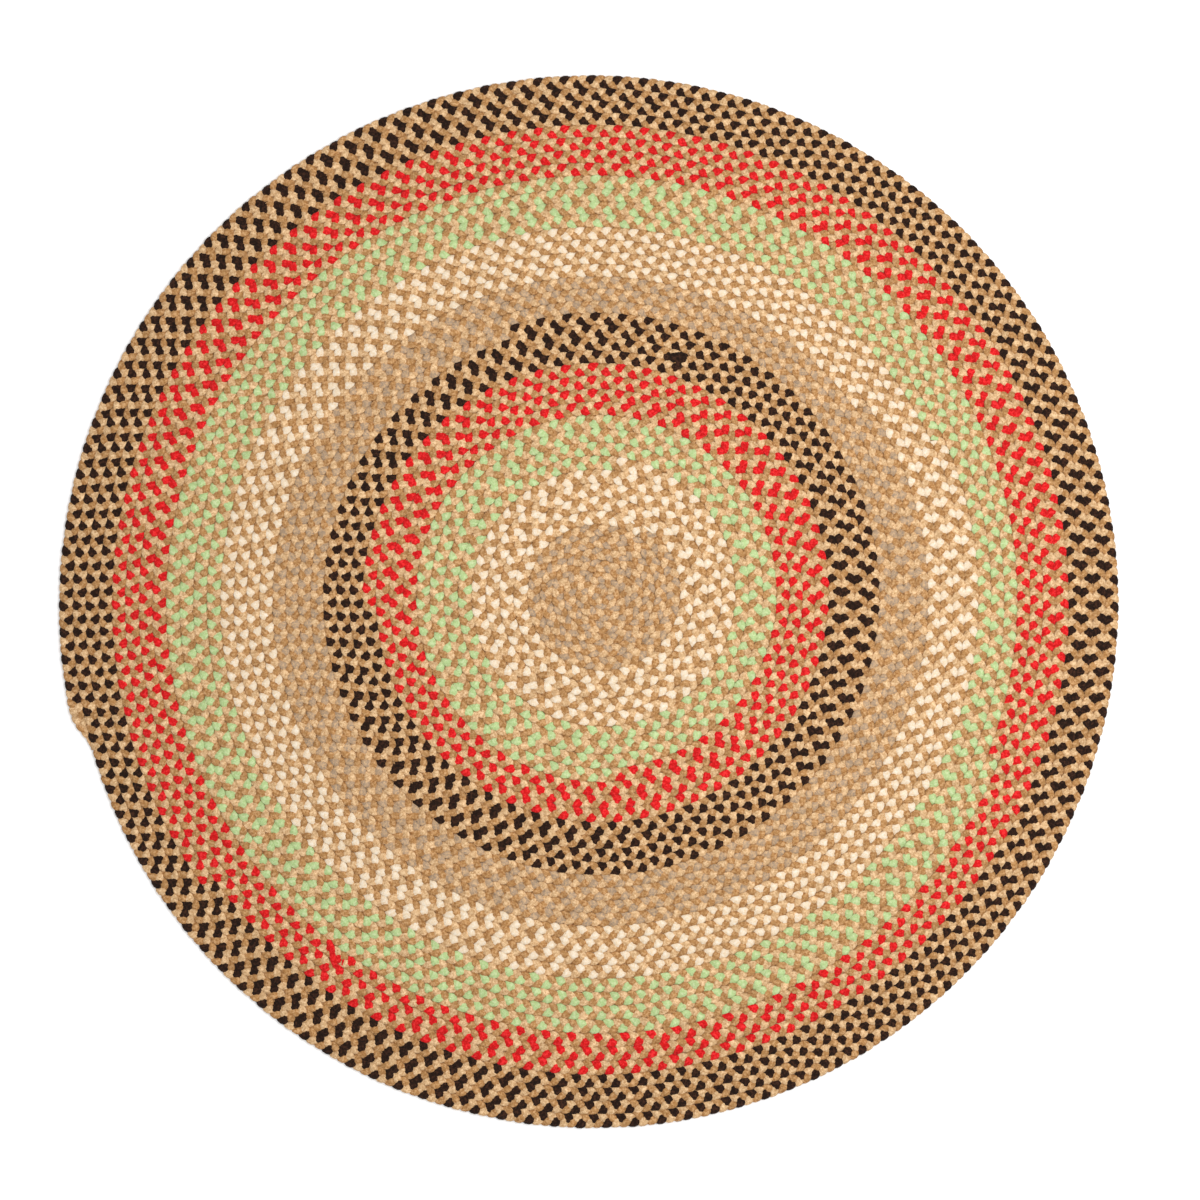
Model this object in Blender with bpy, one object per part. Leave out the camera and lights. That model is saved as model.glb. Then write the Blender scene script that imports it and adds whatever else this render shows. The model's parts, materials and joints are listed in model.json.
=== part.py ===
"""Braided rug, 1.83 m across: one flat three-strand braid wound in a spiral and laced row to row.

The whole rug is one laced piece, so it is one solid. It lies flat on its underside. Each row of the
spiral stands up as a rounded rib on the top face, between the laced lines where neighbouring rows meet.
The braid ends in a short taper tucked against the row inside it. Lengths are in metres, +Z is up, and
the origin is under the middle of the rug, on the floor.
"""

import math

import bmesh
import bpy
import numpy as np

# Heights above the floor.
RUG_THICKNESS = 0.0105
LACED_LINE_HEIGHT = 0.0062
RIM_SHOULDER_HEIGHT = 0.0082
RIM_WIDEST_HEIGHT = 0.0050

# The rounded outer side of the last row, measured inwards from its widest line.
RIM_SHOULDER_INSET = 0.0032
RIM_FOOT_INSET = 0.0036

# The spiral is counted in turns: a whole number lies on the +X side, and it grows anticlockwise.
END_TURN = 40.545
WHOLE_TURNS = 40
START_TURN = END_TURN - WHOLE_TURNS

# Steps round a turn. The last step of each turn is cut finer, because the tail tapers along it.
STEPS_PER_TURN = 60
FINE_STEPS = 4
TAPER_TURNS = 1.0 / 80.0

# How wide a row of the spiral lies, band by band from the middle outwards.
ROWS = (
    # first turn, row width
    (START_TURN, 0.0205),
    (6.16, 0.0240),
    (10.23, 0.0240),
    (13.76, 0.0230),
    (17.51, 0.0225),
    (21.30, 0.0215),
    (25.10, 0.0220),
    (29.07, 0.0230),
    (32.94, 0.0230),
    (36.60, 0.0220),
)
BUTTON_RADIUS = 0.0035

# The rows of a hand-laid spiral do not stay centred on its first one. The middle that a turn goes round
# drifts this far from the first row to the last, as the square of the turn.
MIDDLE_DRIFT = (-0.0145, -0.0190)

STRAND_TAN = (0.64, 0.41, 0.22, 1.0)
FABRIC_ROUGHNESS = 0.95

# Edges that bend more than this are shaded as sharp.
SHARP_ANGLE_DEG = 45.0


def ease(share):
    """Smooth rise from 0 to 1 as share goes from 0 to 1, level at both ends."""
    share = min(max(share, 0.0), 1.0)
    return share * share * (3.0 - 2.0 * share)


def laced_line(turn):
    """Reach and middle of the laced line at a turn: its reach grows by the width of the rows inside it."""
    lasts = [first for first, _ in ROWS[1:]] + [math.inf]
    reach = BUTTON_RADIUS + sum(
        width * max(min(turn, last) - first, 0.0) for (first, width), last in zip(ROWS, lasts))
    drift = (turn / END_TURN) ** 2
    return reach, MIDDLE_DRIFT[0] * drift, MIDDLE_DRIFT[1] * drift


def taper(turn):
    """How far the braid has narrowed: 0 along its whole length, 1 at the tip of its tail."""
    return ease((turn - END_TURN) / TAPER_TURNS + 1.0)


def line_point(turn, inset=0.0):
    """Plan position on the laced line or, in the last turn, on the rug's edge."""
    reach, middle_x, middle_y = laced_line(turn)
    row_width = reach - laced_line(turn - 1.0)[0]
    reach -= taper(turn - 1.0) * row_width + inset
    angle = math.tau * turn
    return middle_x + reach * math.cos(angle), middle_y + reach * math.sin(angle)


def stops(first_turn, turns):
    """Turn numbers at which the spiral is cut across, from first_turn on."""
    coarse = [step / STEPS_PER_TURN for step in range(STEPS_PER_TURN - 1)]
    last_step = (STEPS_PER_TURN - 1) / STEPS_PER_TURN
    fine = [last_step + step / (STEPS_PER_TURN * FINE_STEPS) for step in range(FINE_STEPS)]
    return [first_turn + turn + share for turn in range(turns) for share in coarse + fine]


def crest_point(turn):
    """Top of a row's rib: halfway between its inner and its outer edge, sinking along the tail."""
    inner = line_point(turn)
    outer = line_point(turn + 1.0)
    height = RUG_THICKNESS + (RIM_SHOULDER_HEIGHT - RUG_THICKNESS) * taper(turn)
    return (inner[0] + outer[0]) / 2.0, (inner[1] + outer[1]) / 2.0, height


def edge_ring(height, inset):
    """One ring of points round the rug's outer side."""
    return [(*line_point(turn, inset), height) for turn in stops(END_TURN, 1)]


def rug_points():
    """Laced line, rib crests, shoulder, widest line and foot, and the middle of the first turn."""
    line = [(*line_point(turn), LACED_LINE_HEIGHT) for turn in stops(START_TURN, WHOLE_TURNS)]
    crest = [crest_point(turn) for turn in stops(START_TURN, WHOLE_TURNS)]
    shoulder = edge_ring(RIM_SHOULDER_HEIGHT, RIM_SHOULDER_INSET)
    widest = edge_ring(RIM_WIDEST_HEIGHT, 0.0)
    foot = edge_ring(0.0, RIM_FOOT_INSET)
    middle = [(*laced_line(START_TURN)[1:], RUG_THICKNESS)]
    return line, crest, shoulder, widest, foot, middle


def rug_faces(bm, line, crest, shoulder, widest, foot, middle):
    """Join the points: ribs from row to row, the button in the middle, the rounded rim and the underside."""
    per_turn = len(shoulder)
    edge_line = line + shoulder + shoulder[:1]
    top = crest + shoulder[:1]
    for k in range(len(line)):
        inner = [edge_line[k], top[k], top[k + 1], edge_line[k + 1]]
        outer = [top[k], edge_line[k + per_turn], edge_line[k + per_turn + 1], top[k + 1]]
        for corners in (inner, outer):
            bm.faces.new(list(dict.fromkeys(corners)))
    for k in range(per_turn):
        bm.faces.new([middle[0], line[k], line[k + 1]])
    bm.faces.new([middle[0], line[per_turn], crest[0], line[0]])
    for upper, lower in ((shoulder, widest), (widest, foot)):
        for k in range(per_turn):
            after = (k + 1) % per_turn
            bm.faces.new([upper[k], lower[k], lower[after], upper[after]])
    bm.faces.new(foot[::-1])


def centred(groups):
    """Move the points so that the origin is under the middle of the rug's extent."""
    plan = np.array([point[:2] for group in groups for point in group])
    middle = (plan.min(axis=0) + plan.max(axis=0)) / 2.0
    return [[(x - middle[0], y - middle[1], z) for x, y, z in group] for group in groups]


def strand_cloth():
    """Material of the braid's cloth strands."""
    material = bpy.data.materials.new("strand_cloth")
    material.use_nodes = True
    shader = material.node_tree.nodes["Principled BSDF"]
    shader.inputs["Base Color"].default_value = STRAND_TAN
    shader.inputs["Roughness"].default_value = FABRIC_ROUGHNESS
    shader.inputs["Metallic"].default_value = 0.0
    return material


def braided_rug():
    """The laced spiral as one closed body."""
    bm = bmesh.new()
    groups = [[bm.verts.new(point) for point in group] for group in centred(rug_points())]
    rug_faces(bm, *groups)
    mesh = bpy.data.meshes.new("braided_rug")
    bm.to_mesh(mesh)
    bm.free()
    mesh.shade_smooth()
    mesh.set_sharp_from_angle(angle=math.radians(SHARP_ANGLE_DEG))
    mesh.materials.append(strand_cloth())
    rug = bpy.data.objects.new("braided_rug", mesh)
    bpy.context.scene.collection.objects.link(rug)
    return rug


def main():
    for old in list(bpy.data.objects):
        bpy.data.objects.remove(old, do_unlink=True)
    braided_rug()


main()
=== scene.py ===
"""Braided rug: three cloth strands plaited flat, wound in a spiral of forty turns and laced row to row.

The braid's course is the one of the rug's solid. Along it, each strand is a flattened tube that swings from
side to side and passes over and under the other two. One strand changes colour at every band. A thin laced
ground closes the grooves between the rows. Lengths are in metres, +Z is up.
"""

import json
import math

import bpy
import numpy as np
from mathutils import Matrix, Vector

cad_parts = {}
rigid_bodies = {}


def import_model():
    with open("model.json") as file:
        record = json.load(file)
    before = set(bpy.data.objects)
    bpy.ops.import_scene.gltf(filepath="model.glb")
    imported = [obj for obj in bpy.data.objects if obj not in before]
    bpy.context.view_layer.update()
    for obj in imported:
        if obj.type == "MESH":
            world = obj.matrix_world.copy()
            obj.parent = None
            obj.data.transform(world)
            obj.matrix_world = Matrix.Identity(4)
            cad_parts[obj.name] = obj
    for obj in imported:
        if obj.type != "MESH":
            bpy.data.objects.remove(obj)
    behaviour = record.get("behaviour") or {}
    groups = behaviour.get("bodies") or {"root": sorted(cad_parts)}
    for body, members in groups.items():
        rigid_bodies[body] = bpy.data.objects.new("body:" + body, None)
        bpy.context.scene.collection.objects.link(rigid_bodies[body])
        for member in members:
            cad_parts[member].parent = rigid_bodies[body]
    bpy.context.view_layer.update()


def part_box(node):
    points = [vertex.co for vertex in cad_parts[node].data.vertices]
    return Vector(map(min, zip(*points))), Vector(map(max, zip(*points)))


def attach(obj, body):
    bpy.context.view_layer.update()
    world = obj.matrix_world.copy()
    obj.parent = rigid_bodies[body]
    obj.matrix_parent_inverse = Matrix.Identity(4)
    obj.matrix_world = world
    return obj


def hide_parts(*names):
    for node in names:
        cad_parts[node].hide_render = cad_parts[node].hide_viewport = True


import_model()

bl_info = {
    "name": "Braided Rug",
    "version": (1, 0, 0),
    "blender": (4, 5, 0),
    "location": "View3D > Sidebar > Braided Rug",
    "description": "Makes a round braided rug, strand by strand",
    "category": "Add Mesh",
}

CAD_NODE = "braided_rug"
NODE_LOW, NODE_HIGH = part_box(CAD_NODE)
RUG_THICKNESS = float(NODE_HIGH[2] - NODE_LOW[2])

# ---------------------------------------------------------------------------------------------------------
# The braid's course. Turns are counted so that a whole number lies on the +X side; it grows anticlockwise.
# ---------------------------------------------------------------------------------------------------------

# The braid starts a turn before the solid's first row, coiled up in the button in the middle, and ends in a
# taper.
START_TURN = -0.455
RUG_START_TURN = 0.545
END_TURN = 40.545
TAPER_TURNS = 1.0 / 80.0
COURSE_STEPS_PER_TURN = 720
GROUND_STEPS_PER_TURN = 72

# The bands of the rug, from the middle outwards, named for the accent strand's colour. The rows are as wide
# as the solid's. The accent strand ends before the braid does, and a light one takes its place in the tail.
BANDS = (
    # band, first turn, row width, accent slot, accent width
    ("grey_inner", START_TURN, 0.0205, "grey_strand", 0.0110),
    ("cream_inner", 6.16, 0.0240, "cream_strand", 0.0130),
    ("green_inner", 10.23, 0.0240, "green_strand", 0.0135),
    ("red_inner", 13.76, 0.0230, "red_strand", 0.0145),
    ("black_inner", 17.51, 0.0225, "black_strand", 0.0155),
    ("grey_outer", 21.30, 0.0215, "grey_strand", 0.0135),
    ("cream_outer", 25.10, 0.0220, "cream_strand", 0.0135),
    ("green_outer", 29.07, 0.0230, "green_strand", 0.0140),
    ("red_outer", 32.94, 0.0230, "red_strand", 0.0140),
    ("black_outer", 36.60, 0.0220, "black_strand", 0.0155),
    ("tail", 40.53, 0.0220, "light_strand", 0.0130),
)

# The solid's first row starts at the button's edge. The middle that a turn goes round drifts this far from
# the first row to the last, as the square of the turn, because a hand-laid spiral does not stay centred.
BUTTON_RADIUS = 0.0035
MIDDLE_DRIFT = np.array([-0.0145, -0.0190])

# Short lengths of the accent strand that lie across the loops where it was joined or mended. The places are
# turns and shares of the row's width from its inner edge; beyond 0 or 1 they lie on the next row. They were
# picked by eye on the photo and turned into turns and shares outside this file, so they are less exact than
# their decimals.
SPLICES = (
    # piece, slot, width, places
    ("black_strand_join", "black_strand", 0.0195, ((19.2041, 0.32), (19.1979, 0.50), (19.1934, 0.67))),
    ("black_strand_join_end", "black_strand", 0.0115, ((19.1982, 0.40), (19.1972, -0.05), (19.1966, -0.42))),
    ("red_strand_float", "red_strand", 0.0118,
     ((33.6435, -0.02), (33.6466, 0.31), (33.6494, 0.88), (33.6523, 1.36))),
    ("red_strand_end", "red_strand", 0.0042, ((33.6526, 0.45), (33.6536, 0.92))),
    ("cream_strand_float", "cream_strand", 0.0048, ((6.1604, 0.84), (6.1485, 0.885), (6.1337, 0.93))),
    ("cream_strand_end", "cream_strand", 0.0042, ((6.1932, 0.70), (6.1861, 0.745), (6.1762, 0.665))),
)
SPLICE_STEPS = 14

# Blunt ends of a splice: the power of its outline, and the least that stands under the root at its tips.
SPLICE_BLUNTNESS = 4
SPLICE_TIP = 0.001

# The accent strand's place in the plait, as a share of one plait, and how far each strand follows it.
ACCENT_LEAD = -0.125
STRAND_LAG = 1.0 / 3.0

# How far a strand's rise and fall runs ahead of its swelling, in radians of their common wave.
LIFT_LEAD = 0.3

# Where rings of points stand along each half plait of a strand, as shares of it from the row's edge on: close
# together where the strand lies on top, and apart where it dives under. Round a ring, the points stand at
# these angles in degrees, from the strand's outer edge over its top: close together on top too. The shoulders
# reach out past an ellipse, because the cloth is pressed flat.
RING_SHARES = np.array([0.00, 0.14, 0.28, 0.42, 0.70])
RING_ANGLES = np.array([0.0, 45.0, 90.0, 135.0, 180.0, 270.0])
RING_REACHES = np.array([1.0, 1.12, 1.0, 1.12, 1.0, 1.0])

# A strand is at the row's edge a quarter plait before it crosses the middle. Between the two end rings of a
# length, none stands this near to either of them.
QUARTER_PLAIT = 0.25
END_CLEARANCE = 0.03

# A strand narrows and widens with its row, between these shares of its width. Its thickness follows its width
# down to this share.
SCALE_RANGE = (0.25, 1.2)
THINNEST = 0.3

# Chance along the braid: its tightness wanders over this many plaits, a strand's width and place over this
# many. Each strand and band has its own seed, and each kind of wandering its own step from that.
TIGHTNESS_SPACING = 2.5
LOOP_SPACING = 0.5
PLAIT_SEED = 11
STRAND_SEED = 100
BAND_SEED = 10
WIDTH_SEED = 1
SWING_SEED = 2
SHIFT_SEED = 3

# The first turns are laced less tightly: at the start their rows overlap by this share of the usual, and
# their loops stray by this many times as much. From this turn on they are as even as the rest.
LOOSE_OVERLAP = 0.9
LOOSE_SPREAD = 1.8
LOOSE_TURNS = 6.5

# The floor lies this far below the rug's underside, so that the two are never in one plane.
FLOOR_GAP = 0.0004

UV_NAME = "strand_uv"
CLOTH_NAME = "{}_cloth"

# Threads of the cloth. A strand's streaks run this many to the metre along it and this many round it, and
# turn round it this many times to the metre. Heather, flecks and broad shading are waves to the metre.
STREAKS_ALONG = 160.0
STREAKS_AROUND = 14.0
STREAK_TWIST = 45.0
HEATHER_SCALE = 300.0
FLECK_SCALE = 230.0
BROAD_SCALE = 70.0

# Detail and roughness of each noise.
STREAK_NOISE = (5.0, 0.75)
SPECK_NOISE = (4.0, 0.7)
BROAD_NOISE = (1.0, 0.5)

# The darker thread gives way between these sums of two noises. Between these values of one noise, the lighter
# thread comes in, and the tone goes from its darkest to its lightest.
DARK_RANGE = (0.87, 1.05)
LIGHT_RANGE = (0.48, 0.60)
TONE_RANGE = (0.3, 0.7)

# Surface of the cloth: height of its threads, and how strongly, rough and shiny they show.
THREAD_HEIGHT = 0.0007
THREAD_STRENGTH = 0.6
CLOTH_ROUGHNESS = 0.95
CLOTH_SPECULAR = 0.1
SHEEN_WEIGHT = 0.03
SHEEN_ROUGHNESS = 0.6

FLOOR_ROUGHNESS = 0.8
FLOOR_SPECULAR = 0.2

# Places of the factor and the two colours among a colour mix node's inputs.
MIX_SOCKETS = (0, 6, 7)

# Width of the camera's sensor in millimetres, and how far the camera sees.
SENSOR_WIDTH = 36.0
FARTHEST_SEEN = 100.0

# Heights between which painted shade deepens the colour of a strand into a crease.
CREASE_SHADE_TOP = 0.0100
CREASE_SHADE_DEEP = 0.0072

# Threads that are spun with each strand's own colour, as shares of its red, green and blue.
CLOTHS = (
    # slot, darker thread, lighter thread, heather, tone from loop to loop
    ("light_strand", (0.68, 0.56, 0.44), (1.32, 1.40, 1.54), 0.95, 0.11),
    ("brown_strand", (0.66, 0.52, 0.40), (1.40, 1.56, 2.00), 0.95, 0.12),
    ("grey_strand", (0.66, 0.72, 0.84), (1.36, 1.30, 1.14), 1.00, 0.13),
    ("cream_strand", (0.84, 0.74, 0.58), (1.07, 1.22, 1.45), 0.62, 0.05),
    ("green_strand", (0.72, 0.76, 0.62), (1.40, 1.18, 1.50), 0.68, 0.08),
    ("red_strand", (0.66, 0.50, 0.50), (1.36, 4.20, 4.20), 0.90, 0.12),
    ("black_strand", (0.50, 0.50, 0.50), (3.60, 3.20, 3.00), 0.75, 0.20),
    ("lacing", (0.80, 0.72, 0.64), (1.20, 1.25, 1.30), 0.60, 0.13),
)


def ease(share):
    """Smooth rise from 0 to 1 as share goes from 0 to 1: three share squared less two share cubed."""
    share = np.clip(share, 0.0, 1.0)
    return share * share * (3.0 - 2.0 * share)


def laced_line(turn):
    """Reach and middle of the laced line at each turn.

    The reach grows by the width of the rows inside it, and falls to nothing inside the button.
    """
    turn = np.asarray(turn, dtype=float)
    firsts = [RUG_START_TURN] + [band[1] for band in BANDS[1:]]
    widths = [band[2] for band in BANDS]
    reach = BUTTON_RADIUS + np.minimum(turn - RUG_START_TURN, 0.0) * widths[0]
    for first, last, width in zip(firsts, firsts[1:] + [math.inf], widths):
        reach = reach + width * (np.clip(turn, first, last) - first)
    drift = MIDDLE_DRIFT * (turn[..., None] / END_TURN) ** 2
    return np.maximum(reach, 0.0), drift[..., 0], drift[..., 1]


def line_point(turn):
    """Plan position on the laced line: out from the line's middle by its reach, at one circle for each turn.

    In the last turn it is the rug's edge, which comes in by a row's width where the tail tapers away.
    """
    reach, middle_x, middle_y = laced_line(turn)
    row_width = reach - laced_line(turn - 1.0)[0]
    reach = reach - ease((turn - 1.0 - END_TURN) / TAPER_TURNS + 1.0) * row_width
    angle = math.tau * turn
    return np.stack([middle_x + reach * np.cos(angle), middle_y + reach * np.sin(angle)], axis=-1)


def plan_middle():
    """Middle of the extent of the rug's edge, which the solid has over its origin."""
    edge = line_point(np.linspace(END_TURN, END_TURN + 1.0, COURSE_STEPS_PER_TURN))
    return (edge.min(axis=0) + edge.max(axis=0)) / 2.0


def wander(where, spacing, size, seed):
    """Smooth random wandering: seeded numbers up to a size, at even spacing, joined by the ease curve."""
    knots = np.random.default_rng(seed).uniform(-size, size, int(where.max() / spacing) + 3)
    place = np.clip(where / spacing, 0.0, len(knots) - 1.001)
    first = place.astype(int)
    share = ease(place - first)
    return knots[first] * (1.0 - share) + knots[first + 1] * share


class Course:
    """The braid's middle line from its start to its tail, as arrays over evenly spaced turns."""

    def __init__(self, sizes):
        steps = int((END_TURN - START_TURN) * COURSE_STEPS_PER_TURN)
        self.turn = np.linspace(START_TURN, END_TURN, steps + 1)
        inner = line_point(self.turn) - plan_middle()
        outer = line_point(self.turn + 1.0) - plan_middle()
        self.centre = (inner + outer) / 2.0
        self.width = np.linalg.norm(outer - inner, axis=1)
        lengths = np.linalg.norm(np.diff(self.centre, axis=0), axis=1)
        self.plaits = np.concatenate([[0.0], np.cumsum(lengths)]) / sizes.plait_length
        self.plaits += wander(self.plaits, TIGHTNESS_SPACING, sizes.plait_spread, PLAIT_SEED)

    def at(self, plaits):
        """Turn, middle point and row width where a number of plaits has been worked."""
        turn = np.interp(plaits, self.plaits, self.turn)
        centre = np.stack([np.interp(turn, self.turn, self.centre[:, axis]) for axis in (0, 1)], axis=-1)
        return turn, centre, np.interp(turn, self.turn, self.width)


# ---------------------------------------------------------------------------------------------------------
# Meshes
# ---------------------------------------------------------------------------------------------------------


def make_piece(name, points, corners, faces, smooth, uvs, slot):
    """Mesh object at the origin, from arrays: points, corner indices, face starts and a UV for each corner.

    It rides on the rug's one body, replaces the solid, and has the cloth of its slot.
    """
    mesh = bpy.data.meshes.new(name)
    mesh.vertices.add(len(points))
    mesh.vertices.foreach_set("co", np.ascontiguousarray(points, dtype=np.float32).ravel())
    mesh.loops.add(len(corners))
    mesh.loops.foreach_set("vertex_index", np.ascontiguousarray(corners, dtype=np.int32))
    mesh.polygons.add(len(faces))
    mesh.polygons.foreach_set("loop_start", np.ascontiguousarray(faces, dtype=np.int32))
    mesh.polygons.foreach_set("use_smooth", np.ascontiguousarray(smooth, dtype=bool))
    layer = mesh.uv_layers.new(name=UV_NAME)
    layer.uv.foreach_set("vector", np.ascontiguousarray(uvs, dtype=np.float32).ravel())
    mesh.update(calc_edges=True)
    mesh.validate()
    piece = bpy.data.objects.new(name, mesh)
    bpy.context.scene.collection.objects.link(piece)
    mesh.materials.append(bpy.data.materials[CLOTH_NAME.format(slot)])
    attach(piece, "root")
    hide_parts(CAD_NODE)
    return piece


def tube(name, path, half_width, half_thickness, slot):
    """Flattened tube carried along a path, closed at both ends.

    A ring of points stands at each path point: an ellipse with full shoulders, its width level and square to
    the path's plan direction, and its thickness upright. U is the length along the path, V goes once round.
    """
    rings, sides = len(path), len(RING_ANGLES)
    heading = np.gradient(path[:, :2], axis=0)
    heading /= np.linalg.norm(heading, axis=1)[:, None]
    level = np.stack([heading[:, 1], -heading[:, 0], np.zeros(rings)], axis=1)
    around = np.radians(RING_ANGLES)
    reach = half_width[:, None] * np.cos(around) * RING_REACHES
    grid = path[:, None, :] + level[:, None, :] * reach[:, :, None]
    grid[:, :, 2] += half_thickness[:, None] * np.sin(around) * RING_REACHES
    ring, side = np.meshgrid(np.arange(rings - 1), np.arange(sides), indexing="ij")
    after = (side + 1) % sides
    walls = np.stack([ring * sides + side, (ring + 1) * sides + side,
                      (ring + 1) * sides + after, ring * sides + after], axis=-1).reshape(-1, 4)
    start_cap = np.arange(sides)
    end_cap = (rings - 1) * sides + np.arange(sides)[::-1]
    along = np.concatenate([[0.0], np.cumsum(np.linalg.norm(np.diff(path, axis=0), axis=1))])
    u_first, u_after = along[ring], along[ring + 1]
    v_first = around[side] / math.tau
    v_after = np.append(around[1:], math.tau)[side] / math.tau
    wall_uvs = np.stack([np.stack([u_first, v_first], -1), np.stack([u_after, v_first], -1),
                         np.stack([u_after, v_after], -1), np.stack([u_first, v_after], -1)], axis=2)
    cap_uvs = [np.stack([np.full(sides, along[end]), around / math.tau], -1) for end in (0, -1)]
    corners = np.concatenate([walls.ravel(), start_cap, end_cap])
    faces = np.concatenate([np.arange(len(walls)) * 4, len(walls) * 4 + np.array([0, sides])])
    smooth = np.ones(len(faces), dtype=bool)
    smooth[-2:] = False
    uvs = np.concatenate([wall_uvs.reshape(-1, 2), *cap_uvs])
    return make_piece(name, grid.reshape(-1, 3), corners, faces, smooth, uvs, slot)


def strand_path(course, sizes, strand, strand_width, first_turn, last_turn, seed):
    """Path and half width of one strand between two turns.

    Counted from where the strand crosses the braid's middle, it swings outwards by the sine of its phase,
    and it sinks and narrows by the sine of twice its phase, so that it lies high and swollen on its way back
    to the middle and low and pinched on its way out. The phase makes one circle for each plait.
    """
    lead = ACCENT_LEAD - STRAND_LAG * strand
    ends = np.interp([first_turn, last_turn], course.turn, course.plaits) + lead
    halves = np.arange(math.floor(ends[0] * 2.0) - 1, math.ceil(ends[1] * 2.0) + 1)
    steps = ((halves[:, None] + RING_SHARES) / 2.0 - QUARTER_PLAIT).ravel()
    between = (steps > ends[0] + END_CLEARANCE) & (steps < ends[1] - END_CLEARANCE)
    steps = np.concatenate([[ends[0]], steps[between], [ends[1]]])
    turn, centre, width = course.at(steps - lead)
    scale = np.clip(width / sizes.row_width, *SCALE_RANGE)
    phase = math.tau * steps
    half_width = strand_width / 2.0 * scale
    half_width *= 1.0 + wander(steps - steps[0], LOOP_SPACING, sizes.width_spread, seed + WIDTH_SEED)
    evenness = ease(turn / LOOSE_TURNS)
    overlap = sizes.row_overlap * (LOOSE_OVERLAP + (1.0 - LOOSE_OVERLAP) * evenness)
    spread = sizes.loop_spread * scale * (LOOSE_SPREAD + (1.0 - LOOSE_SPREAD) * evenness)
    swing = np.maximum(width / 2.0 + overlap - half_width, 0.0) * np.sin(phase)
    half_width *= 1.0 - sizes.loop_swell * np.sin(2.0 * phase)
    swing += wander(steps - steps[0], LOOP_SPACING, 1.0, seed + SWING_SEED) * spread
    shift = wander(steps - steps[0], LOOP_SPACING, 1.0, seed + SHIFT_SEED) * spread
    outward = np.stack([np.cos(math.tau * turn), np.sin(math.tau * turn)], axis=-1)
    onward = np.stack([-outward[:, 1], outward[:, 0]], axis=-1)
    plan = centre + outward * swing[:, None] + onward * shift[:, None]
    lift = sizes.strand_lift * np.minimum(scale, 1.0)
    height = RUG_THICKNESS / 2.0 - lift * np.sin(2.0 * phase + LIFT_LEAD)
    return np.column_stack([plan, height]), half_width


def lay_strand(context, strand, label, width=None, slot=None):
    """One tube for each band's length of a strand, in the accent's own width and slot where none is given."""
    sizes = context.scene.braided_rug_sizes
    course = Course(sizes)
    lasts = [band[1] for band in BANDS[1:]] + [END_TURN]
    for number, ((band, first_turn, _, accent, accent_width), last_turn) in enumerate(zip(BANDS, lasts)):
        seed = STRAND_SEED * strand + BAND_SEED * number
        band_width = width or accent_width
        path, half_width = strand_path(course, sizes, strand, band_width, first_turn, last_turn, seed)
        half_thickness = np.full(len(path), RUG_THICKNESS / 2.0 - sizes.strand_lift)
        half_thickness *= np.clip(half_width / (band_width / 2.0), THINNEST, 1.0)
        tube(f"{label}_{band}", path, half_width, half_thickness, slot or accent)


def lay_splices(context):
    """The short lengths that lie across the loops, each from place to place in straight, even steps.

    The width and thickness are the full ones times the fourth root of one less the fourth power of twice the
    distance from the length's middle, as a share of the length, so that both ends are blunt and rounded. A
    width below the usual thickness of a splice is its thickness too.
    """
    sizes = context.scene.braided_rug_sizes
    shares = np.linspace(0.0, 1.0, SPLICE_STEPS)
    swell = np.maximum(1.0 - (2.0 * shares - 1.0) ** SPLICE_BLUNTNESS, SPLICE_TIP) ** (1.0 / SPLICE_BLUNTNESS)
    for name, slot, width, places in SPLICES:
        turns, lanes = np.array(places).T
        spots = np.linspace(0.0, 1.0, len(places))
        turn, lane = np.interp(shares, spots, turns), np.interp(shares, spots, lanes)
        inner, outer = line_point(turn), line_point(turn + 1.0)
        plan = inner + (outer - inner) * lane[:, None] - plan_middle()
        path = np.column_stack([plan, np.full(len(plan), RUG_THICKNESS - sizes.splice_sink)])
        half_thickness = min(sizes.splice_thickness, width) / 2.0 * swell
        tube(name, path, width / 2.0 * swell, half_thickness, slot)


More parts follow.
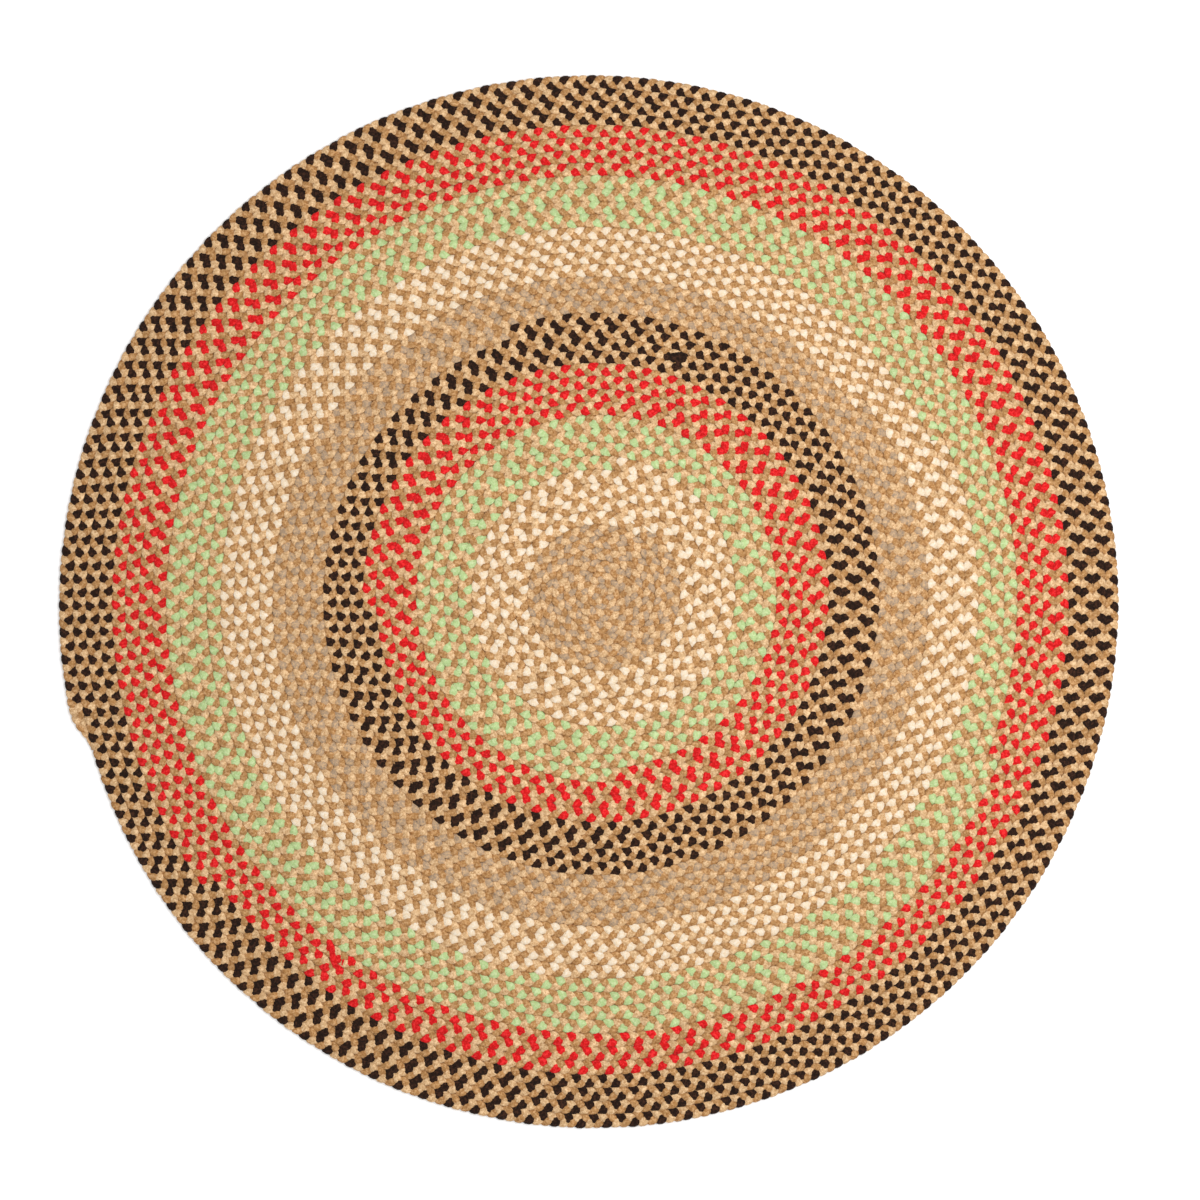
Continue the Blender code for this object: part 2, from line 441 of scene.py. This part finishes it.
def make_ground(context):
    """The laced ground: a thin closed sheet along the rows, low under each row and raised at the laced line.

    Its top and underside are one spiral net each. Net points on the laced line and halfway to the next one
    are counted along the spiral, so that a row's outer line is the next row's inner line. The tip of the tail
    is the last point of both.
    """
    sizes = context.scene.braided_rug_sizes
    per_turn = GROUND_STEPS_PER_TURN
    count = round((END_TURN - RUG_START_TURN) * per_turn)
    turn = RUG_START_TURN + np.arange(count + per_turn) / per_turn
    line = line_point(turn) - plan_middle()
    reach = np.linalg.norm(line, axis=1)
    inset = np.where(np.arange(len(turn)) >= count, sizes.ground_inset, 0.0)
    line *= (1.0 - inset / np.maximum(reach, sizes.ground_inset))[:, None]
    crest = (line[:count] + line[per_turn:]) / 2.0
    hub = line[:per_turn].mean(axis=0)
    plan = np.vstack([line, crest, hub])
    heights = np.full(len(plan), sizes.ground_line_height)
    heights[len(line):-1] = sizes.ground_crest_height
    top = np.column_stack([plan, heights])
    points = np.vstack([top, top - np.array([0.0, 0.0, sizes.ground_thickness])])

    step = np.arange(count - 1)
    crests = len(line) + step
    first = np.arange(per_turn)
    hub_point, last_crest = len(plan) - 1, len(line) + count - 1
    top_faces = [
        np.stack([step, crests, crests + 1, step + 1], axis=-1),
        np.stack([crests, step + per_turn, step + per_turn + 1, crests + 1], axis=-1),
        np.array([[count - 1, last_crest, count], [last_crest, count + per_turn - 1, count]]),
        np.array([[hub_point, per_turn, len(line), 0]]),
        np.stack([np.full(per_turn, hub_point), first, first + 1], axis=-1),
    ]
    rim = count + first
    rim_after = count + (first + 1) % per_turn
    sides = np.stack([rim, rim + len(plan), rim_after + len(plan), rim_after], axis=-1)
    groups = top_faces + [faces[:, ::-1] + len(plan) for faces in top_faces] + [sides]
    corners = np.concatenate([faces.ravel() for faces in groups])
    corner_counts = np.concatenate([np.full(len(faces), faces.shape[1]) for faces in groups])
    starts = np.concatenate([[0], np.cumsum(corner_counts)[:-1]])
    smooth = np.ones(len(starts), dtype=bool)
    return make_piece("laced_ground", points, corners, starts, smooth, points[corners][:, :2], "lacing")


# ---------------------------------------------------------------------------------------------------------
# Materials
# ---------------------------------------------------------------------------------------------------------


def link(tree, source, output, target, socket):
    """Join one node's output to another's input."""
    tree.links.new(source.outputs[output], target.inputs[socket])


def math_node(tree, operation, first, second):
    """Math node of two inputs, each a number or a (node, output) pair."""
    node = tree.nodes.new("ShaderNodeMath")
    node.operation = operation
    for place, value in enumerate((first, second)):
        if isinstance(value, tuple):
            link(tree, value[0], value[1], node, place)
        else:
            node.inputs[place].default_value = value
    return node


def noise_node(tree, source, output, scale, detail, roughness):
    """Noise read at a vector, at a number of waves to the metre or to the vector's own unit."""
    noise = tree.nodes.new("ShaderNodeTexNoise")
    noise.inputs["Scale"].default_value = scale
    noise.inputs["Detail"].default_value = detail
    noise.inputs["Roughness"].default_value = roughness
    link(tree, source, output, noise, "Vector")
    return noise


def range_node(tree, source, output, low, high, low_result, high_result):
    """Map Range node that turns low to high into low_result to high_result, and holds the value beyond."""
    spread = tree.nodes.new("ShaderNodeMapRange")
    spread.inputs["From Min"].default_value = low
    spread.inputs["From Max"].default_value = high
    spread.inputs["To Min"].default_value = low_result
    spread.inputs["To Max"].default_value = high_result
    link(tree, source, output, spread, "Value")
    return spread


def mix_node(tree, factor, first, second, blend):
    """Colour mix of a factor and two colours, each given as a (node, output) pair."""
    mix = tree.nodes.new("ShaderNodeMix")
    mix.data_type = "RGBA"
    mix.blend_type = blend
    for (node, output), socket in zip((factor, first, second), MIX_SOCKETS):
        link(tree, node, output, mix, socket)
    return mix


def strand_fibres():
    """Node group: heathered cloth of three threads, streaked along the strand, painted shade in a crease.

    Noise of a few millimetres picks between the cloth's own thread, a darker and a lighter one. Broad noise
    shades whole loops by the tone, up or down. From the crease's top down, the crease shade colour
    multiplies the colour more and more: painted shade, deepening as the surface lies lower.
    """
    name = "Strand fibres"
    if name in bpy.data.node_groups:
        return bpy.data.node_groups[name]
    tree = bpy.data.node_groups.new(name, "ShaderNodeTree")
    face = tree.interface
    for socket in ("Cloth", "Darker thread", "Lighter thread", "Crease"):
        face.new_socket(name=socket, in_out="INPUT", socket_type="NodeSocketColor")
    face.new_socket(name="Heather", in_out="INPUT", socket_type="NodeSocketFloat")
    face.new_socket(name="Tone", in_out="INPUT", socket_type="NodeSocketFloat")
    face.new_socket(name="Colour", in_out="OUTPUT", socket_type="NodeSocketColor")
    face.new_socket(name="Height", in_out="OUTPUT", socket_type="NodeSocketFloat")
    group_in = tree.nodes.new("NodeGroupInput")
    group_out = tree.nodes.new("NodeGroupOutput")
    place = tree.nodes.new("ShaderNodeTexCoord")
    uv = tree.nodes.new("ShaderNodeUVMap")
    uv.uv_map = UV_NAME
    split = tree.nodes.new("ShaderNodeSeparateXYZ")
    link(tree, uv, "UV", split, "Vector")
    along = math_node(tree, "MULTIPLY", (split, "X"), STREAKS_ALONG)
    slant = math_node(tree, "MULTIPLY", (split, "X"), STREAK_TWIST)
    twisted = math_node(tree, "ADD", (split, "Y"), (slant, "Value"))
    across = math_node(tree, "MULTIPLY", (twisted, "Value"), STREAKS_AROUND)
    joined = tree.nodes.new("ShaderNodeCombineXYZ")
    link(tree, along, "Value", joined, "X")
    link(tree, across, "Value", joined, "Y")
    streaks = noise_node(tree, joined, "Vector", 1.0, *STREAK_NOISE)
    heather = noise_node(tree, place, "Object", HEATHER_SCALE, *SPECK_NOISE)
    flecks = noise_node(tree, place, "Object", FLECK_SCALE, *SPECK_NOISE)
    broad = noise_node(tree, place, "Object", BROAD_SCALE, *BROAD_NOISE)

    threads = math_node(tree, "ADD", (streaks, "Fac"), (heather, "Fac"))
    dark = range_node(tree, threads, "Value", *DARK_RANGE, 1.0, 0.0)
    dark_share = math_node(tree, "MULTIPLY", (dark, "Result"), (group_in, "Heather"))
    darkened = mix_node(tree, (dark_share, "Value"), (group_in, "Cloth"), (group_in, "Darker thread"), "MIX")
    light = range_node(tree, flecks, "Fac", *LIGHT_RANGE, 0.0, 1.0)
    light_share = math_node(tree, "MULTIPLY", (light, "Result"), (group_in, "Heather"))
    lighter = (group_in, "Lighter thread")
    flecked = mix_node(tree, (light_share, "Value"), (darkened, "Result"), lighter, "MIX")
    shade = range_node(tree, broad, "Fac", *TONE_RANGE, -1.0, 1.0)
    shade_share = math_node(tree, "MULTIPLY", (shade, "Result"), (group_in, "Tone"))
    tone = math_node(tree, "ADD", (shade_share, "Value"), 1.0)
    toned = tree.nodes.new("ShaderNodeVectorMath")
    toned.operation = "SCALE"
    link(tree, flecked, "Result", toned, 0)
    link(tree, tone, "Value", toned, "Scale")
    height = tree.nodes.new("ShaderNodeSeparateXYZ")
    link(tree, place, "Object", height, "Vector")
    # Painted shade: the lower the surface lies between the crease heights, the more the crease colour
    # multiplies it.
    depth = range_node(tree, height, "Z", CREASE_SHADE_DEEP, CREASE_SHADE_TOP, 1.0, 0.0)
    crease_shaded = mix_node(tree, (depth, "Result"), (toned, "Vector"), (group_in, "Crease"), "MULTIPLY")
    link(tree, crease_shaded, "Result", group_out, "Colour")
    link(tree, threads, "Value", group_out, "Height")
    return tree


def cloth_material(slot, colour, darker, lighter, heather, tone, crease):
    """Matt cloth of one colour, heathered by the strand fibres, whose other threads are shares of it."""
    material = bpy.data.materials.new(CLOTH_NAME.format(slot))
    material.use_nodes = True
    tree = material.node_tree
    shader = tree.nodes["Principled BSDF"]
    fibres = tree.nodes.new("ShaderNodeGroup")
    fibres.node_tree = strand_fibres()
    threads = {"Cloth": (1.0, 1.0, 1.0), "Darker thread": darker, "Lighter thread": lighter}
    for socket, shares in threads.items():
        thread = [min(part * part_share, 1.0) for part, part_share in zip(colour, shares)]
        fibres.inputs[socket].default_value = (*thread, 1.0)
    # The crease colour is painted shade, multiplied in where the strand lies low.
    fibres.inputs["Crease"].default_value = (*crease, 1.0)
    fibres.inputs["Heather"].default_value = heather
    fibres.inputs["Tone"].default_value = tone
    link(tree, fibres, "Colour", shader, "Base Color")
    bump = tree.nodes.new("ShaderNodeBump")
    bump.inputs["Strength"].default_value = THREAD_STRENGTH
    bump.inputs["Distance"].default_value = THREAD_HEIGHT
    link(tree, fibres, "Height", bump, "Height")
    link(tree, bump, "Normal", shader, "Normal")
    shader.inputs["Roughness"].default_value = CLOTH_ROUGHNESS
    shader.inputs["Specular IOR Level"].default_value = CLOTH_SPECULAR
    shader.inputs["Sheen Weight"].default_value = SHEEN_WEIGHT
    shader.inputs["Sheen Roughness"].default_value = SHEEN_ROUGHNESS
    return material


def floor_material(colour):
    """Pale, even paint of the floor."""
    material = bpy.data.materials.new("floor_paint")
    material.use_nodes = True
    shader = material.node_tree.nodes["Principled BSDF"]
    shader.inputs["Base Color"].default_value = (*colour, 1.0)
    shader.inputs["Roughness"].default_value = FLOOR_ROUGHNESS
    shader.inputs["Specular IOR Level"].default_value = FLOOR_SPECULAR
    return material


# ---------------------------------------------------------------------------------------------------------
# Settings
# ---------------------------------------------------------------------------------------------------------


def length_setting(name, description, default):
    """Length property in metres."""
    return bpy.props.FloatProperty(
        name=name, description=description, default=default, min=0.0, precision=4, unit="LENGTH",
        subtype="DISTANCE")


def share_setting(name, description, default):
    """Property from 0 to 1."""
    return bpy.props.FloatProperty(
        name=name, description=description, default=default, min=0.0, max=1.0, subtype="FACTOR")


def colour_setting(name, description, default):
    """Colour property, in linear light."""
    return bpy.props.FloatVectorProperty(
        name=name, description=description, default=default, size=3, min=0.0, max=1.0, subtype="COLOR")


class BraidedRugSizes(bpy.types.PropertyGroup):
    """Sizes of the strands and of the laced ground."""

    row_width: length_setting("Row width", "Usual width of one row of braid", 0.0225)
    plait_length: length_setting(
        "Plait length", "Length of braid in which each strand crosses over once", 0.0460)
    light_width: length_setting("Light strand width", "Width of the light tan strand as it lies", 0.0132)
    brown_width: length_setting(
        "Brown strand width", "Width of the caramel brown strand as it lies", 0.0122)
    strand_lift: length_setting(
        "Strand lift", "How far a strand rises and sinks about mid-thickness", 0.0021)
    row_overlap: length_setting("Row overlap", "How far a strand bulges past the edge of its row", 0.0017)
    ground_crest_height: length_setting(
        "Ground height in a row", "Top of the laced ground under a row", 0.0042)
    ground_line_height: length_setting(
        "Ground height at a line", "Top of the laced ground between rows", 0.0066)
    ground_thickness: length_setting("Ground thickness", "Thickness of the laced ground", 0.0012)
    ground_inset: length_setting(
        "Ground inset", "How far the laced ground stays inside the rug's edge", 0.0050)
    loop_swell: share_setting(
        "Loop swell", "Share by which a strand is wider on top of a loop and narrower under one", 0.12)
    loop_spread: length_setting("Loop spread", "How far a loop may lie from its even place", 0.0008)
    width_spread: share_setting(
        "Width spread", "Share by which a strand's width varies from loop to loop", 0.07)
    splice_thickness: length_setting(
        "Splice thickness", "Thickness of a strand that lies across the loops", 0.0062)
    splice_sink: length_setting(
        "Splice sink", "How far the middle of such a strand is below the top of the rug", 0.0022)
    plait_spread: share_setting(
        "Plait spread", "Share of a plait by which the braid is worked tighter or looser", 0.05)


class BraidedRugColours(bpy.types.PropertyGroup):
    """Colours of the strands."""

    light_strand: colour_setting("Light tan", "Light tan strand", (0.512, 0.333, 0.174))
    brown_strand: colour_setting("Caramel brown", "Caramel brown strand", (0.349, 0.184, 0.0675))
    grey_strand: colour_setting("Grey", "Grey accent strand", (0.367, 0.251, 0.157))
    cream_strand: colour_setting("Cream", "Cream accent strand", (0.664, 0.542, 0.396))
    green_strand: colour_setting("Pale green", "Pale green accent strand", (0.366, 0.482, 0.220))
    red_strand: colour_setting("Red", "Red accent strand", (0.5200, 0.0068, 0.0072))
    black_strand: colour_setting("Black", "Black accent strand", (0.0140, 0.0060, 0.0032))
    # Painted shade, multiplied into a strand's colour where it lies deep in a crease.
    crease: colour_setting(
        "Crease", "What the colour of a strand is multiplied by deep in a crease", (0.97, 0.93, 0.89))
    lacing: colour_setting("Lacing", "Lacing thread and the depth of the grooves", (0.377, 0.221, 0.102))


class BraidedRugStage(bpy.types.PropertyGroup):
    """Floor, light and camera."""

    floor_colour: colour_setting("Floor", "Colour of the floor", (0.95, 0.95, 0.95))
    floor_size: length_setting("Floor size", "Side of the floor", 40.0)
    camera_height: length_setting("Camera height", "Height of the camera above the floor", 6.0)
    frame_width: length_setting("Frame width", "Width of floor that fills the picture", 2.083)
    camera_right: length_setting(
        "Camera right", "How far the camera stands to the right of the rug's middle", 0.0195)
    camera_up: length_setting("Camera up", "How far the camera stands towards the picture's top", 0.0029)
    sky_strength: bpy.props.FloatProperty(
        name="Soft light", description="Strength of the even light from all around", default=0.935, min=0.0)
    lamp_power: bpy.props.FloatProperty(
        name="Lamp power", description="Power of the large soft lamp", default=51.5, min=0.0, unit="POWER")
    lamp_size: length_setting("Lamp size", "Side of the large soft lamp", 2.0)
    lamp_height: length_setting("Lamp height", "Height of the lamp above the floor", 2.4)
    lamp_right: length_setting(
        "Lamp right", "How far the lamp hangs to the right of the rug's middle", 0.78)
    lamp_up: length_setting("Lamp up", "How far the lamp hangs towards the picture's top", 0.20)


# ---------------------------------------------------------------------------------------------------------
# Operators
# ---------------------------------------------------------------------------------------------------------


class BRAIDEDRUG_OT_finishes(bpy.types.Operator):
    """Mix the cloth of every strand and of the lacing"""

    bl_idname = "braided_rug.mix_finishes"
    bl_label = "Finishes"

    def execute(self, context):
        colours = context.scene.braided_rug_colours
        for slot, *cloth in CLOTHS:
            cloth_material(slot, getattr(colours, slot), *cloth, colours.crease)
        return {"FINISHED"}


class BRAIDEDRUG_OT_ground(bpy.types.Operator):
    """Lay the thin laced ground that closes the grooves between the rows"""

    bl_idname = "braided_rug.lay_ground"
    bl_label = "Laced ground"

    def execute(self, context):
        make_ground(context)
        return {"FINISHED"}


class BRAIDEDRUG_OT_light_strand(bpy.types.Operator):
    """Lay the light tan strand through the whole braid"""

    bl_idname = "braided_rug.lay_light_strand"
    bl_label = "Light tan strand"

    def execute(self, context):
        lay_strand(context, 1, "light_strand", context.scene.braided_rug_sizes.light_width, "light_strand")
        return {"FINISHED"}


class BRAIDEDRUG_OT_brown_strand(bpy.types.Operator):
    """Lay the caramel brown strand through the whole braid"""

    bl_idname = "braided_rug.lay_brown_strand"
    bl_label = "Caramel brown strand"

    def execute(self, context):
        lay_strand(context, 2, "brown_strand", context.scene.braided_rug_sizes.brown_width, "brown_strand")
        return {"FINISHED"}


class BRAIDEDRUG_OT_accent_strand(bpy.types.Operator):
    """Lay the accent strand, one length of colour for each band"""

    bl_idname = "braided_rug.lay_accent_strand"
    bl_label = "Accent strand"

    def execute(self, context):
        lay_strand(context, 0, "accent_strand")
        return {"FINISHED"}


class BRAIDEDRUG_OT_splices(bpy.types.Operator):
    """Lay the short lengths of accent strand that cross the loops where it was joined or mended"""

    bl_idname = "braided_rug.lay_splices"
    bl_label = "Splices"

    def execute(self, context):
        lay_splices(context)
        return {"FINISHED"}


class BRAIDEDRUG_OT_declare(bpy.types.Operator):
    """Stop with an error unless the ground and the strands have been laid"""

    bl_idname = "braided_rug.declare_cloth"
    bl_label = "Declare the cloth"

    def execute(self, context):
        ground = bpy.data.objects.get("laced_ground")
        strands = [piece for piece in bpy.data.objects if "_strand_" in piece.name]
        if ground is None or not strands:
            self.report({"ERROR"}, "The ground and the strands have to be laid first")
            raise RuntimeError("The ground and the strands have to be laid first")
        return {"FINISHED"}


class BRAIDEDRUG_OT_stage(bpy.types.Operator):
    """Set the pale floor, the soft light and the camera straight above"""

    bl_idname = "braided_rug.set_stage"
    bl_label = "Stage"

    def execute(self, context):
        stage = context.scene.braided_rug_stage
        half = stage.floor_size / 2.0
        corners = np.array([[-half, -half], [half, -half], [half, half], [-half, half]])
        points = np.column_stack([corners, np.full(4, -FLOOR_GAP)])
        mesh = bpy.data.meshes.new("floor")
        mesh.from_pydata(points, [], [(0, 1, 2, 3)])
        floor = bpy.data.objects.new("floor", mesh)
        context.scene.collection.objects.link(floor)
        mesh.materials.append(floor_material(stage.floor_colour))

        world = bpy.data.worlds.new("soft_light")
        world.use_nodes = True
        sky = world.node_tree.nodes["Background"]
        sky.inputs["Color"].default_value = (1.0, 1.0, 1.0, 1.0)
        sky.inputs["Strength"].default_value = stage.sky_strength
        context.scene.world = world

        light = bpy.data.lights.new("soft_lamp", "AREA")
        light.shape = "SQUARE"
        light.size = stage.lamp_size
        light.energy = stage.lamp_power
        lamp = bpy.data.objects.new("soft_lamp", light)
        context.scene.collection.objects.link(lamp)
        lamp.location = (stage.lamp_right, stage.lamp_up, stage.lamp_height)

        lens = bpy.data.cameras.new("camera")
        lens.sensor_width = SENSOR_WIDTH
        lens.lens = lens.sensor_width * stage.camera_height / stage.frame_width
        lens.clip_end = FARTHEST_SEEN
        camera = bpy.data.objects.new("camera", lens)
        context.scene.collection.objects.link(camera)
        camera.location = (stage.camera_right, stage.camera_up, stage.camera_height)
        context.scene.camera = camera
        context.scene.view_settings.view_transform = "Standard"
        return {"FINISHED"}


OPERATORS = (
    BRAIDEDRUG_OT_finishes,
    BRAIDEDRUG_OT_ground,
    BRAIDEDRUG_OT_light_strand,
    BRAIDEDRUG_OT_brown_strand,
    BRAIDEDRUG_OT_accent_strand,
    BRAIDEDRUG_OT_splices,
    BRAIDEDRUG_OT_declare,
    BRAIDEDRUG_OT_stage,
)


class BRAIDEDRUG_PT_panel(bpy.types.Panel):
    """Sidebar panel with the settings and the steps of the rug"""

    bl_label = "Braided Rug"
    bl_idname = "BRAIDEDRUG_PT_panel"
    bl_space_type = "VIEW_3D"
    bl_region_type = "UI"
    bl_category = "Braided Rug"

    def draw(self, context):
        for group in (context.scene.braided_rug_sizes, context.scene.braided_rug_colours,
                      context.scene.braided_rug_stage):
            box = self.layout.box()
            for name in group.__annotations__:
                box.prop(group, name)
        for operator in OPERATORS:
            self.layout.operator(operator.bl_idname)


GROUPS = (
    ("braided_rug_sizes", BraidedRugSizes),
    ("braided_rug_colours", BraidedRugColours),
    ("braided_rug_stage", BraidedRugStage),
)


def register():
    """Add the settings, the operators and the panel."""
    for name, group in GROUPS:
        bpy.utils.register_class(group)
        setattr(bpy.types.Scene, name, bpy.props.PointerProperty(type=group))
    for operator in OPERATORS:
        bpy.utils.register_class(operator)
    bpy.utils.register_class(BRAIDEDRUG_PT_panel)


def unregister():
    """Take away what register adds."""
    bpy.utils.unregister_class(BRAIDEDRUG_PT_panel)
    for operator in reversed(OPERATORS):
        bpy.utils.unregister_class(operator)
    for name, group in reversed(GROUPS):
        delattr(bpy.types.Scene, name)
        bpy.utils.unregister_class(group)


def main():
    """Make the rug and its stage."""
    register()
    bpy.ops.braided_rug.mix_finishes()
    bpy.ops.braided_rug.lay_ground()
    bpy.ops.braided_rug.lay_light_strand()
    bpy.ops.braided_rug.lay_brown_strand()
    bpy.ops.braided_rug.lay_accent_strand()
    bpy.ops.braided_rug.lay_splices()
    bpy.ops.braided_rug.declare_cloth()
    bpy.ops.braided_rug.set_stage()


if __name__ == "__main__":
    main()
